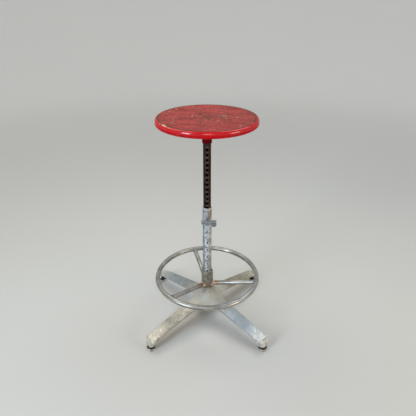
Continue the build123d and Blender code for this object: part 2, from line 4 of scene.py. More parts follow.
import bpy
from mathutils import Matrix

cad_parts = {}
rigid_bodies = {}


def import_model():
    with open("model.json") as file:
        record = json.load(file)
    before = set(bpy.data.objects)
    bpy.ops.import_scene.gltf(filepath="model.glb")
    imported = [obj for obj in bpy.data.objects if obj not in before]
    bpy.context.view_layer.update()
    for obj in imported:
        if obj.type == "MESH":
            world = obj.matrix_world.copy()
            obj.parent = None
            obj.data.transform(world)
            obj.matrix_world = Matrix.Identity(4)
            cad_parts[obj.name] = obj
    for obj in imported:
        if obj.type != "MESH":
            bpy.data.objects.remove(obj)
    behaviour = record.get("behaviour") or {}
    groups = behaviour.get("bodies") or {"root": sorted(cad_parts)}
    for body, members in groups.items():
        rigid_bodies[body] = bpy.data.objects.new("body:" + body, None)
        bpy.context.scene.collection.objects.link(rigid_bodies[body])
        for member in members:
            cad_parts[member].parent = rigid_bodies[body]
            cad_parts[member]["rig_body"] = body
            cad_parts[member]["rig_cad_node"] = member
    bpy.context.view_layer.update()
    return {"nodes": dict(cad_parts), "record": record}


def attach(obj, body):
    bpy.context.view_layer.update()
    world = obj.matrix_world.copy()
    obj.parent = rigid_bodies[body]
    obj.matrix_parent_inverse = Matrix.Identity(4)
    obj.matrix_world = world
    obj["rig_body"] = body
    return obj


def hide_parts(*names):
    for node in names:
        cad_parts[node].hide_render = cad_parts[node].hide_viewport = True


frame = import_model()
nodes = frame["nodes"]

# Sizes repeated from the part's source, in metres and degrees.
SEAT_TOP = 0.8515
SEAT_FLAT_RADIUS = 0.1688
COLLAR_FOOT = 0.7583
COLUMN_TOP = 0.507
COLUMN_RADIUS = 0.0174625
POST_RADIUS = 0.0142875
POST_HOLE_HEIGHT = 0.45175
POST_HOLE_PITCH = 0.01905
POST_HOLE_RADIUS = 0.0047625
INDEX_HOLE_TOP = 0.3576
INDEX_HOLE_PITCH = 0.0334
INDEX_HOLE_RADIUS = 0.004
RING_RADIUS = 0.2018
RING_TUBE_RADIUS = 0.009525
RING_HEIGHT = 0.1904
SPOKE_RADIUS = 0.00875
SPOKE_ROOT_HEIGHT = 0.1501
SPOKE_ANGLES = (106.7, 226.7, 346.7)
HUB_FOOT = 0.1396
SCREW_HEIGHT = 0.1976
SCREW_ANGLE = 106.7
SCREW_RADIUS = 0.00395
LEG_TOP_AT_AXIS = 0.1032
LEG_SLOPE = 0.175

# Sizes of the pieces that only the scene has.
SCREW_THREAD_START = 0.0276
SCREW_THREAD_PITCH = 0.0014
SCREW_THREAD_TURNS = 3
SCREW_THREAD_STEPS = 28
SCREW_THREAD_SECTION = 0.0006
WELD_SECTION = 0.0019
WELD_STAND_OFF = 0.0008
WELD_TILT = 11.3
MERGE_DISTANCE = 0.00001

# Where the finishes change: heights, distances from the column axis, and spots with their sizes.
RIM_SHADE_TOP = 0.8430
RIM_SHADE_FOOT = 0.8320
RIM_DULL_FOOT = 0.8360
RIM_INNER, RIM_OUTER = 0.166, 0.1695
GLOSS_FOOT = (0.8385, 0.8415)
GLOSS_TOP = (0.8506, 0.8494)
GLOSS_SIDES = (0.160, 0.125)
SCUFF_CENTRE, SCUFF_SIZE = (0.022, -0.004, SEAT_TOP), (0.112, 0.080, 0.05)
BARE_CENTRE, BARE_SIZE, BARE_TURN = (0.056, 0.008, SEAT_TOP), (0.018, 0.014, 0.05), 20.0
KNOCK_CENTRE, KNOCK_SIZE, KNOCK_TURN = (-0.1410, -0.0960, 0.8492), (0.028, 0.0040, 0.0050), 124.0
INDEX_ROW_LOW = 0.140
INDEX_ROW_HIGH = 0.375
COLUMN_UPPER_REFLECTION = (0.458, 0.466)
LATCH_HIGHLIGHT_TOP = (0.4380, 0.4366)
LATCH_SHADOW_TOP = (0.4052, 0.4036)
LATCH_PADDLE = (0.015, 0.019)
LATCH_BAR_HIGHLIGHT = (0.454, 0.461)
HUB_LIP_HIGHLIGHT = (0.2155, 0.2195)
RING_BURNT = (0.068, 0.038)
FOOT_ZONE = 0.25
GLINT_CENTRE, GLINT_SIZE = (-0.2235, 0.1940, 0.0365), (0.015, 0.015, 0.011)

# Marks, each a centre, a size and a turn in degrees.
LEG_SCRAPES = (
    ((-0.1793, -0.1814, 0.0588), (0.0130, 0.0016, 0.02), -78.8),
    ((0.1870, -0.1793, 0.0578), (0.0120, 0.0016, 0.02), -84.8),
)

# Scratches, each a width, a length, a turn in degrees and a rarity.
SEAT_SCRATCHES = ((0.0007, 0.045, 18.0, 0.64), (0.0006, 0.06, -34.0, 0.64), (0.0008, 0.05, 77.0, 0.65))
RING_SCRATCHES = ((0.0006, 0.03, 30.0, 0.63), (0.0006, 0.03, 120.0, 0.63))
LEG_SCRATCHES = ((0.0009, 0.035, 20.0, 0.61), (0.0008, 0.04, -48.0, 0.62), (0.001, 0.03, 95.0, 0.62))

# Backdrop, lamps and camera.
PAPER_RADIUS = 5.5
PAPER_HEIGHT = 5.0
PAPER_BEND = 1.8
PAPER_GLOW = 0.36
STOOL_MIDDLE = (0.0, 0.0, 0.5)
RING_LEVEL = (0.0, 0.0, 0.25)
LEG_LEVEL = (0.0, 0.0, 0.2)
WIDE_BEAM = 180.0
NARROW_BEAM = 140.0
SKY_COLOUR = (0.82, 0.83, 0.84, 1.0)
SKY_STRENGTH = 0.26
CAMERA_PLACE = (0.00867, -1.39138, 1.23007)
CAMERA_TILT = 62.371
CAMERA_TURN = 0.2216
CAMERA_LENS = 35.95
CAMERA_SENSOR = 36.0


# Helpers for finishes


def tint(red, green, blue):
    """A colour as a paint chart gives it, 0 to 255, turned into the shader's own numbers."""
    shares = [value / 255 for value in (red, green, blue)]
    linear = [s / 12.92 if s <= 0.04045 else ((s + 0.055) / 1.055) ** 2.4 for s in shares]
    return (*linear, 1.0)


def start_finish(name, metal, rough):
    """A new material with its node tree, its shader and the place on the piece in metres."""
    finish = bpy.data.materials.new(name)
    finish.use_nodes = True
    tree = finish.node_tree
    shader = tree.nodes["Principled BSDF"]
    shader.inputs["Metallic"].default_value = metal
    shader.inputs["Roughness"].default_value = rough
    place = tree.nodes.new("ShaderNodeTexCoord").outputs["Object"]
    return finish, tree, shader, place


def feed(tree, socket, value):
    """Give a socket a link or a plain value."""
    if isinstance(value, bpy.types.NodeSocket):
        tree.links.new(value, socket)
    else:
        socket.default_value = value


def figure(tree, kind, first, second=0.0, third=0.0):
    """One sum on one, two or three values."""
    node = tree.nodes.new("ShaderNodeMath")
    node.operation = kind
    for socket, value in zip(node.inputs, (first, second, third)):
        feed(tree, socket, value)
    return node.outputs[0]


def sides(tree, place):
    """The three coordinates of the place."""
    node = tree.nodes.new("ShaderNodeSeparateXYZ")
    feed(tree, node.inputs[0], place)
    return node.outputs


def sized(tree, place, size, turn=0.0, centre=(0.0, 0.0, 0.0)):
    """The place counted from a centre, turned in plan, in steps of one size or of one for each side."""
    node = tree.nodes.new("ShaderNodeMapping")
    node.vector_type = "TEXTURE"
    feed(tree, node.inputs["Vector"], place)
    node.inputs["Location"].default_value = centre
    node.inputs["Rotation"].default_value = (0.0, 0.0, radians(turn))
    node.inputs["Scale"].default_value = size if isinstance(size, tuple) else (size, size, size)
    return node.outputs[0]


def patches(tree, place, size, detail=4.0, turn=0.0, rough=0.55):
    """Soft random patches, from 0 to 1, of a size in metres."""
    node = tree.nodes.new("ShaderNodeTexNoise")
    feed(tree, node.inputs["Vector"], sized(tree, place, size, turn))
    node.inputs["Scale"].default_value = 1.0
    node.inputs["Detail"].default_value = detail
    node.inputs["Roughness"].default_value = rough
    return node.outputs[0]


def fine_grain(tree, place, size):
    """Rough patches that are fine enough to read as grain."""
    return patches(tree, place, size, 4.0, rough=0.7)


def pits(tree, place, size):
    """Distance from scattered points, in steps of a size in metres, and each point's own number."""
    node = tree.nodes.new("ShaderNodeTexVoronoi")
    feed(tree, node.inputs["Vector"], sized(tree, place, size))
    node.inputs["Scale"].default_value = 1.0
    own = tree.nodes.new("ShaderNodeSeparateColor")
    tree.links.new(node.outputs["Color"], own.inputs[0])
    return node.outputs["Distance"], own.outputs[0]


def rise(tree, value, low, high):
    """0 at low and 1 at high with a soft change between, falling where low is the larger."""
    node = tree.nodes.new("ShaderNodeMapRange")
    node.interpolation_type = "SMOOTHSTEP"
    feed(tree, node.inputs["Value"], value)
    node.inputs["From Min"].default_value = low
    node.inputs["From Max"].default_value = high
    return node.outputs[0]


def span(tree, value, low, high):
    """A value from 0 to 1 stretched to run from low to high."""
    node = tree.nodes.new("ShaderNodeMapRange")
    feed(tree, node.inputs["Value"], value)
    node.inputs["To Min"].default_value = low
    node.inputs["To Max"].default_value = high
    return node.outputs[0]


def both(tree, *masks):
    """Where every mask holds."""
    result = masks[0]
    for mask in masks[1:]:
        result = figure(tree, "MULTIPLY", result, mask)
    return result


def either(tree, *masks):
    """Where any mask holds."""
    result = masks[0]
    for mask in masks[1:]:
        result = figure(tree, "MAXIMUM", result, mask)
    return result


def over(tree, mask, under, top):
    """A colour laid over another where a mask holds."""
    node = tree.nodes.new("ShaderNodeMix")
    node.data_type = "RGBA"
    feed(tree, node.inputs[0], mask)
    feed(tree, node.inputs[6], under)
    feed(tree, node.inputs[7], top)
    return node.outputs[2]


def laid(tree, under, mask, share, top):
    """A colour laid over another by a share of its strength where a mask holds."""
    return over(tree, figure(tree, "MULTIPLY", mask, share), under, top)


def relief(tree, shader, layers):
    """Raise the surface by several heights, each a value, a depth in metres and a strength."""
    normal = None
    for height, depth, strength in layers:
        node = tree.nodes.new("ShaderNodeBump")
        node.inputs["Strength"].default_value = strength
        node.inputs["Distance"].default_value = depth
        feed(tree, node.inputs["Height"], height)
        if normal is not None:
            tree.links.new(normal, node.inputs["Normal"])
        normal = node.outputs[0]
    tree.links.new(normal, shader.inputs["Normal"])


def surface(tree, shader, colour, rough, layers):
    """Link a colour, a roughness and a relief to a shader."""
    feed(tree, shader.inputs["Base Color"], colour)
    feed(tree, shader.inputs["Roughness"], rough)
    relief(tree, shader, layers)


def diagonal(tree, first, second):
    """Distance for two steps at right angles."""
    squares = [figure(tree, "MULTIPLY", step, step) for step in (first, second)]
    return figure(tree, "SQRT", figure(tree, "ADD", *squares))


def axis_distance(tree, place):
    """Distance from the column axis."""
    x, y, _ = sides(tree, place)
    return diagonal(tree, x, y)


def near(tree, place, centre, size, turn=0.0):
    """Distance from a centre, in steps of a size along each side."""
    node = tree.nodes.new("ShaderNodeVectorMath")
    node.operation = "LENGTH"
    tree.links.new(sized(tree, place, size, turn, centre), node.inputs[0])
    return node.outputs["Value"]


def from_holes(tree, place, height, pitch):
    """Distance from the line of the nearest hole in a row of holes cut from front to back."""
    x, _, z = sides(tree, place)
    step = figure(tree, "WRAP", figure(tree, "SUBTRACT", z, height), pitch / 2, -pitch / 2)
    return diagonal(tree, x, step)


def scratches(tree, place, marks):
    """Thin straight marks, each kind of one width and length, lying at an angle in plan."""
    kinds = []
    for width, length, turn, rarity in marks:
        lines = patches(tree, place, (length, width, width * 8), 2.0, turn)
        broken = patches(tree, place, length, 2.0)
        kinds.append(both(tree, rise(tree, lines, rarity, rarity + 0.05), rise(tree, broken, 0.5, 0.62)))
    return either(tree, *kinds)


# Finishes


def seat_enamel():
    """Red enamel: glossy on the upper rim and rubbed dull on top, with scuffs, flecks and a dark edge."""
    finish, tree, shader, place = start_finish("seat_enamel", 0.0, 0.3)
    x, y, z = sides(tree, place)
    radius = axis_distance(tree, place)
    on_top = both(
        tree,
        rise(tree, radius, SEAT_FLAT_RADIUS + 0.004, SEAT_FLAT_RADIUS - 0.002),
        rise(tree, z, SEAT_TOP - 0.003, SEAT_TOP - 0.0006),
    )
    on_rim = rise(tree, radius, RIM_INNER, RIM_OUTER)
    rub = patches(tree, place, (0.06, 0.045, 0.06), 5.0)
    grain = patches(tree, place, (0.009, 0.006, 0.009), 6.0, rough=0.7)
    fine = fine_grain(tree, place, (0.0022, 0.0018, 0.002))
    gloss_red = over(tree, rub, tint(184, 3, 16), tint(208, 8, 24))
    # Painted shade: the lower part of the rim is darkened towards its foot.
    gloss_red = laid(tree, gloss_red, rise(tree, z, RIM_SHADE_TOP, RIM_SHADE_FOOT), 0.5, tint(148, 0, 8))
    faded = over(tree, rise(tree, rub, 0.32, 0.68), tint(158, 46, 44), tint(190, 66, 63))
    faded = laid(tree, faded, rise(tree, grain, 0.49, 0.57), 0.85, tint(112, 48, 40))
    pale = both(tree, rise(tree, fine, 0.53, 0.64), rise(tree, rub, 0.36, 0.6))
    faded = over(tree, pale, faded, tint(208, 92, 88))
    colour = over(tree, on_top, gloss_red, faded)

    # Scuffs, one bare spot, dust and specks on the top
    middle = rise(tree, near(tree, place, SCUFF_CENTRE, SCUFF_SIZE), 1.15, 0.35)
    blot = patches(tree, place, (0.017, 0.011, 0.017), 4.0, rough=0.6)
    streaky = patches(tree, place, (0.020, 0.008, 0.02), 5.0, rough=0.65)
    scuffed = figure(tree, "MULTIPLY_ADD", middle, 0.085, blot)
    scuff = both(tree, on_top, rise(tree, scuffed, 0.61, 0.655))
    colour = laid(tree, colour, scuff, 0.85, over(tree, grain, tint(54, 44, 34), tint(96, 90, 70)))
    to_bare = near(tree, place, BARE_CENTRE, BARE_SIZE, BARE_TURN)
    ragged = figure(tree, "MULTIPLY_ADD", streaky, 3.2, to_bare)
    bare = both(tree, on_top, rise(tree, ragged, 2.35, 1.95))
    colour = laid(tree, colour, bare, 0.85, over(tree, grain, tint(100, 100, 88), tint(138, 146, 143)))
    dust = both(tree, on_top, rise(tree, streaky, 0.54, 0.66))
    colour = laid(tree, colour, dust, 0.6, tint(84, 62, 46))
    specks = patches(tree, place, (0.006, 0.005, 0.006), 5.0, rough=0.7)
    colour = laid(tree, colour, both(tree, on_top, rise(tree, specks, 0.55, 0.63)), 0.75, tint(92, 56, 44))

    # The dark line where the top meets the rim, stronger in front
    in_front = rise(tree, y, 0.02, -0.12)
    edge_noise = patches(tree, place, (0.018, 0.018, 0.01), 5.0, rough=0.68)
    edge_noise = figure(tree, "ADD", edge_noise, figure(tree, "MULTIPLY", in_front, 0.06))
    wander = patches(tree, place, 0.007, 4.0, rough=0.65)
    uneven = figure(tree, "MULTIPLY_ADD", wander, 0.012, radius)
    edge = both(
        tree,
        rise(tree, uneven, 0.1680, 0.1730),
        rise(tree, radius, 0.1722, 0.1692),
        rise(tree, z, 0.845, 0.850),
        rise(tree, edge_noise, 0.38, 0.52),
    )
    colour = laid(tree, colour, edge, 0.92, over(tree, grain, tint(54, 38, 28), tint(96, 82, 58)))

    # Flecks on the top, chips and specks on the rim, and one knock
    dot, own = pits(tree, place, 0.022)
    fleck = both(tree, on_top, rise(tree, dot, 0.14, 0.07), rise(tree, own, 0.60, 0.64))
    colour = over(tree, fleck, colour, tint(222, 192, 168))
    rim_dot, rim_own = pits(tree, place, 0.011)
    rim_chip = both(tree, on_rim, rise(tree, rim_dot, 0.16, 0.1), rise(tree, rim_own, 0.86, 0.9))
    colour = over(tree, rim_chip, colour, tint(196, 150, 128))
    rim_speck = both(tree, on_rim, rise(tree, rim_dot, 0.22, 0.12), rise(tree, rim_own, 0.16, 0.12))
    colour = laid(tree, colour, rim_speck, 0.7, tint(74, 22, 18))
    knock = both(
        tree,
        rise(tree, near(tree, place, KNOCK_CENTRE, KNOCK_SIZE, KNOCK_TURN), 1.0, 0.7),
        rise(tree, patches(tree, place, (0.007, 0.007, 0.004), 4.0), 0.40, 0.50),
    )
    colour = over(tree, knock, colour, tint(232, 206, 176))

    lines = scratches(tree, place, SEAT_SCRATCHES)
    rubbed_top = figure(tree, "MULTIPLY", on_top, span(tree, grain, 0.26, 0.44))
    rough = figure(tree, "ADD", rubbed_top, span(tree, rub, 0.10, 0.16))
    dull = either(tree, scuff, edge, knock, rise(tree, z, RIM_SHADE_TOP, RIM_DULL_FOOT))
    rough = figure(tree, "MULTIPLY_ADD", dull, 0.3, rough)
    scored = figure(tree, "MULTIPLY", both(tree, lines, on_top), 0.8)
    chipped = either(tree, scuff, edge, knock, scored)
    surface(tree, shader, colour, rough, [
        (figure(tree, "SUBTRACT", 1.0, chipped), 0.0004, 0.5),
        (fine, 0.0002, 0.12),
    ])
    shader.inputs["Specular IOR Level"].default_value = 0.15

    # A clear gloss on the upper rim that fades where hands grip it, at the left and the right
    glossy = both(
        tree,
        rise(tree, figure(tree, "ABSOLUTE", x), *GLOSS_SIDES),
        rise(tree, radius, SEAT_FLAT_RADIUS + 0.001, SEAT_FLAT_RADIUS + 0.004),
        rise(tree, z, *GLOSS_FOOT),
        rise(tree, z, *GLOSS_TOP),
    )
    feed(tree, shader.inputs["Coat Weight"], figure(tree, "SUBTRACT", glossy, both(tree, glossy, knock)))
    shader.inputs["Coat Roughness"].default_value = 0.16
    return finish


def collar_enamel():
    """Gloss red painted darker than the seat's red as painted shade under the seat, darkened with oil
    towards the foot, chipped at the foot.
    """
    finish, tree, shader, place = start_finish("collar_enamel", 0.0, 0.26)
    _, _, z = sides(tree, place)
    rub = patches(tree, place, (0.02, 0.02, 0.03), 5.0)
    grime = both(tree, rise(tree, z, COLLAR_FOOT + 0.026, COLLAR_FOOT), rise(tree, rub, 0.38, 0.6))
    # The darker red of the whole collar is painted shade from the seat above.
    colour = over(tree, rub, tint(92, 4, 14), tint(136, 8, 20))
    colour = laid(tree, colour, grime, 0.8, tint(40, 12, 12))
    flake = patches(tree, place, (0.005, 0.005, 0.004))
    chip = both(tree, rise(tree, z, COLLAR_FOOT + 0.007, COLLAR_FOOT), rise(tree, flake, 0.54, 0.6))
    colour = over(tree, chip, colour, tint(88, 76, 66))
    rough = span(tree, either(tree, rub, grime), 0.16, 0.5)
    surface(tree, shader, colour, rough, [
        (figure(tree, "SUBTRACT", 1.0, chip), 0.0003, 0.5),
        (rub, 0.0004, 0.08),
    ])
    shader.inputs["Specular IOR Level"].default_value = 0.02
    return finish


def oiled_steel():
    """Dark oiled tube, browner on one side as a painted reflection, worn along its length, with a painted
    highlight down its front between the holes.
    """
    finish, tree, shader, place = start_finish("oiled_steel", 0.1, 0.5)
    x, y, z = sides(tree, place)
    blotch = patches(tree, place, (0.012, 0.012, 0.02), 6.0, rough=0.65)
    drawn = patches(tree, place, (0.0016, 0.0016, 0.09), 3.0)
    grain = fine_grain(tree, place, 0.002)
    wander = figure(tree, "MULTIPLY", figure(tree, "SUBTRACT", blotch, 0.5), 0.02)
    # Painted reflection: the right side is browner.
    brown_reflection_side = rise(tree, figure(tree, "ADD", x, wander), 0.001, 0.013)
    brown = over(tree, rise(tree, blotch, 0.42, 0.60), tint(26, 15, 8), tint(70, 48, 28))
    colour = over(tree, rise(tree, blotch, 0.40, 0.62), tint(22, 17, 15), tint(62, 53, 49))
    colour = laid(tree, colour, brown_reflection_side, 0.75, brown)
    wear_and_highlight = both(tree, rise(tree, drawn, 0.56, 0.70), rise(tree, z, 0.70, 0.52))
    colour = laid(tree, colour, wear_and_highlight, 0.5, tint(112, 98, 86))
    rust = rise(tree, patches(tree, place, (0.006, 0.006, 0.009), 6.0, rough=0.7), 0.60, 0.70)
    colour = laid(tree, colour, rust, 0.6, tint(88, 54, 34))
    to_hole = from_holes(tree, place, POST_HOLE_HEIGHT, POST_HOLE_PITCH)
    # Painted highlight down the middle of the front, between the holes.
    centre_highlight = both(
        tree,
        rise(tree, y, -0.0095, -0.0128),
        rise(tree, figure(tree, "ABSOLUTE", x), 0.0065, 0.0035),
        rise(tree, to_hole, POST_HOLE_RADIUS + 0.0008, POST_HOLE_RADIUS + 0.0022),
    )
    colour = laid(tree, colour, centre_highlight, 0.45, tint(100, 88, 78))
    oily = both(
        tree,
        rise(tree, y, -0.004, -0.008),
        rise(tree, to_hole, POST_HOLE_RADIUS + 0.0016, POST_HOLE_RADIUS + 0.0002),
        rise(tree, z, COLLAR_FOOT - 0.008, COLLAR_FOOT - 0.014),
    )
    colour = laid(tree, colour, oily, 0.8, tint(14, 11, 10))
    # Painted shade: the bore and the deep part of each hole are near black.
    inside = rise(tree, axis_distance(tree, place), POST_RADIUS - 0.0003, POST_RADIUS - 0.0009)
    colour = over(tree, inside, colour, tint(5, 4, 4))
    rough = span(tree, either(tree, grain, rust), 0.32, 0.66)
    surface(tree, shader, colour, rough, [(drawn, 0.0003, 0.2), (grain, 0.0002, 0.25)])
    shader.inputs["Specular IOR Level"].default_value = 0.04
    return finish


def column_plate():
    """Mottled plating in beige patches, with painted shade on the left, a painted beige and brown
    reflection on the right, and painted highlights at its holes and top edge.
    """
    finish, tree, shader, place = start_finish("column_plate", 0.7, 0.45)
    x, _, z = sides(tree, place)
    mottle = patches(tree, place, (0.010, 0.010, 0.016), 5.0, rough=0.6)
    cloud = patches(tree, place, (0.022, 0.022, 0.04), 4.0)
    drawn = patches(tree, place, (0.0014, 0.0014, 0.07), 3.0)
    grain = fine_grain(tree, place, (0.0016, 0.0016, 0.002))
    colour = over(tree, rise(tree, mottle, 0.42, 0.60), tint(152, 158, 166), tint(220, 227, 235))
    # Beige in random patches, and on the right side as a painted reflection.
    reflection_right = figure(tree, "ADD", x, figure(tree, "MULTIPLY", cloud, 0.02))
    beige_patches_and_reflection = either(tree, rise(tree, cloud, 0.5, 0.7), rise(tree, reflection_right, 0.008, 0.020))
    colour = laid(tree, colour, beige_patches_and_reflection, 0.4, tint(166, 156, 138))
    # Painted reflection: brown on the upper right, above the latch.
    brown_reflection_top = both(tree, rise(tree, z, *COLUMN_UPPER_REFLECTION), rise(tree, x, -0.006, 0.006))
    colour = laid(tree, colour, brown_reflection_top, 0.65, tint(132, 116, 92))
    # Painted shade: bluish and darker on the left side.
    bluish_shade_left = rise(tree, figure(tree, "MULTIPLY_ADD", cloud, 0.008, x), -0.002, -0.010)
    colour = laid(tree, colour, bluish_shade_left, 0.6, tint(112, 128, 146))

    # Grime, and painted highlights on the raised rim and on the left of each index hole
    to_hole = from_holes(tree, place, INDEX_HOLE_TOP, INDEX_HOLE_PITCH)
    row = both(
        tree,
        rise(tree, z, INDEX_ROW_LOW, INDEX_ROW_LOW + 0.006),
        rise(tree, z, INDEX_ROW_HIGH, INDEX_ROW_HIGH - 0.006),
    )
    rim = both(tree, row, rise(tree, to_hole, INDEX_HOLE_RADIUS + 0.0026, INDEX_HOLE_RADIUS + 0.0008))
    grime = both(
        tree,
        row,
        rise(tree, to_hole, INDEX_HOLE_RADIUS + 0.010, INDEX_HOLE_RADIUS + 0.001),
        rise(tree, mottle, 0.44, 0.6),
    )
    colour = laid(tree, colour, grime, 0.6, tint(104, 98, 94))
    # Painted highlight on the raised rim of each hole.
    colour = laid(tree, colour, rim, 0.85, tint(234, 236, 240))
    # Painted highlight: a bright crescent on the left of each hole.
    wear_and_highlight = both(
        tree,
        row,
        rise(tree, to_hole, INDEX_HOLE_RADIUS + 0.0048, INDEX_HOLE_RADIUS + 0.0034),
        rise(tree, x, 0.0010, -0.0016),
    )
    colour = laid(tree, colour, wear_and_highlight, 0.9, tint(248, 250, 252))

    dot, own = pits(tree, place, 0.006)
    pit = both(tree, rise(tree, dot, 0.24, 0.12), rise(tree, own, 0.58, 0.66))
    colour = laid(tree, colour, pit, 0.75, tint(92, 80, 68))
    # Painted highlight along the top edge.
    lip = rise(tree, z, COLUMN_TOP - 0.010, COLUMN_TOP - 0.007)
    colour = laid(tree, colour, lip, 0.5, tint(226, 226, 222))
    inside = both(
        tree,
        rise(tree, axis_distance(tree, place), COLUMN_RADIUS - 0.0003, COLUMN_RADIUS - 0.0009),
        rise(tree, z, COLUMN_TOP - 0.0004, COLUMN_TOP - 0.0030),
    )
    colour = over(tree, inside, colour, tint(38, 26, 20))
    rough = figure(tree, "ADD", span(tree, mottle, 0.34, 0.56), figure(tree, "MULTIPLY", grime, 0.15))
    surface(tree, shader, colour, rough, [
        (rim, 0.0005, 0.5),
        (mottle, 0.0008, 0.35),
        (drawn, 0.0002, 0.18),
        (figure(tree, "SUBTRACT", grain, pit), 0.0002, 0.25),
    ])
    return finish


def latch_zinc():
    """Dull blue-grey zinc, with painted shade on the paddle, painted highlights on the strip below the bar
    and on the bar's top, and a painted shadow at the root.
    """
    finish, tree, shader, place = start_finish("latch_zinc", 0.9, 0.42)
    x, _, z = sides(tree, place)
    spangle = patches(tree, place, 0.006, 5.0, rough=0.65)
    grain = fine_grain(tree, place, 0.0012)
    colour = over(tree, rise(tree, spangle, 0.35, 0.65), tint(126, 133, 141), tint(166, 172, 178))
    # Painted highlight: the strip below the bar is pale.
    bright = over(tree, rise(tree, spangle, 0.42, 0.60), tint(196, 206, 218), tint(236, 242, 248))
    colour = laid(tree, colour, rise(tree, z, *LATCH_HIGHLIGHT_TOP), 0.85, bright)
    # Painted shadow at the foot of the strip.
    colour = laid(tree, colour, rise(tree, z, *LATCH_SHADOW_TOP), 0.85, tint(66, 66, 68))
    # Painted shade on the paddle.
    colour = laid(tree, colour, rise(tree, x, *LATCH_PADDLE), 0.4, tint(96, 102, 106))
    # Painted highlight on the upper face of the bar.
    bar_highlight = both(tree, rise(tree, z, *LATCH_BAR_HIGHLIGHT), rise(tree, spangle, 0.3, 0.5))
    colour = laid(tree, colour, bar_highlight, 0.5, tint(208, 208, 206))
    dirt = rise(tree, patches(tree, place, 0.004, 6.0, rough=0.7), 0.60, 0.70)
    colour = laid(tree, colour, dirt, 0.6, tint(98, 90, 82))
    rough = span(tree, spangle, 0.30, 0.54)
    surface(tree, shader, colour, rough, [(spangle, 0.0003, 0.15), (grain, 0.0001, 0.3)])
    return finish


def ring_plate():
    """Bright plating on the foot ring, rubbed by shoes, with fine pits, burnt near the braze."""
    finish, tree, shader, place = start_finish("ring_plate", 1.0, 0.25)
    _, y, _ = sides(tree, place)
    dull = patches(tree, place, (0.05, 0.05, 0.03), 5.0, rough=0.6)
    haze = patches(tree, place, (0.009, 0.009, 0.006), 5.0, rough=0.7)
    grain = fine_grain(tree, place, (0.0015, 0.0015, 0.0012))
    back = rise(tree, y, -0.10, 0.10)
    worn = rise(tree, figure(tree, "ADD", dull, figure(tree, "MULTIPLY", back, 0.10)), 0.42, 0.66)
    colour = over(tree, worn, tint(176, 176, 174), tint(144, 143, 138))
    colour = laid(tree, colour, rise(tree, haze, 0.5, 0.7), 0.25, tint(160, 154, 144))
    burnt = both(tree, rise(tree, axis_distance(tree, place), *RING_BURNT), rise(tree, haze, 0.40, 0.58))
    colour = laid(tree, colour, burnt, 0.8, tint(148, 102, 66))
    dot, own = pits(tree, place, 0.0045)
    pit = both(tree, rise(tree, dot, 0.26, 0.12), rise(tree, own, 0.62, 0.7), rise(tree, dull, 0.42, 0.6))
    colour = laid(tree, colour, pit, 0.8, tint(104, 82, 60))
    rough = figure(tree, "ADD", span(tree, worn, 0.28, 0.42), figure(tree, "MULTIPLY", haze, 0.10))
    marked = either(tree, pit, scratches(tree, place, RING_SCRATCHES))
    surface(tree, shader, colour, rough, [
        (figure(tree, "SUBTRACT", 1.0, marked), 0.0002, 0.4),
        (haze, 0.0003, 0.05),
        (grain, 0.0001, 0.10),
    ])
    return finish


def hub_steel():
    """Dark worn steel of the ring's sleeve, browned by heat near the spokes, with a painted highlight on
    its upper lip.
    """
    finish, tree, shader, place = start_finish("hub_steel", 0.85, 0.45)
    _, _, z = sides(tree, place)
    blotch = patches(tree, place, 0.012, 6.0, rough=0.65)
    grain = fine_grain(tree, place, 0.0016)
    drawn = patches(tree, place, (0.0016, 0.0016, 0.06), 3.0)
    colour = over(tree, rise(tree, blotch, 0.34, 0.66), tint(116, 114, 107), tint(168, 165, 155))
    heat = both(tree, rise(tree, z, HUB_FOOT + 0.036, HUB_FOOT + 0.012), rise(tree, blotch, 0.40, 0.62))
    colour = laid(tree, colour, heat, 0.75, over(tree, grain, tint(112, 70, 42), tint(142, 104, 70)))
    # Painted highlight on the upper lip.
    lip = both(tree, rise(tree, z, *HUB_LIP_HIGHLIGHT), rise(tree, blotch, 0.3, 0.5))
    colour = laid(tree, colour, lip, 0.6, tint(204, 200, 190))
    rough = span(tree, either(tree, blotch, heat), 0.26, 0.62)
    surface(tree, shader, colour, rough, [
        (drawn, 0.0003, 0.15),
        (blotch, 0.0006, 0.12),
        (grain, 0.0002, 0.25),
    ])
    return finish


def braze_metal():
    """Rough braze: orange metal with pale flux and rust in its hollows."""
    finish, tree, shader, place = start_finish("braze_metal", 0.6, 0.5)
    lump = patches(tree, place, 0.006, 5.0, rough=0.6)
    grain = fine_grain(tree, place, 0.0018)
    colour = over(tree, rise(tree, lump, 0.36, 0.62), tint(122, 80, 52), tint(188, 150, 112))
    flux = rise(tree, patches(tree, place, 0.009, 4.0), 0.47, 0.56)
    colour = over(tree, flux, colour, tint(226, 214, 194))
    colour = laid(tree, colour, rise(tree, grain, 0.6, 0.72), 0.6, tint(82, 48, 30))
    rough = span(tree, lump, 0.32, 0.66)
    surface(tree, shader, colour, rough, [(lump, 0.0012, 0.4), (grain, 0.0003, 0.4)])
    return finish


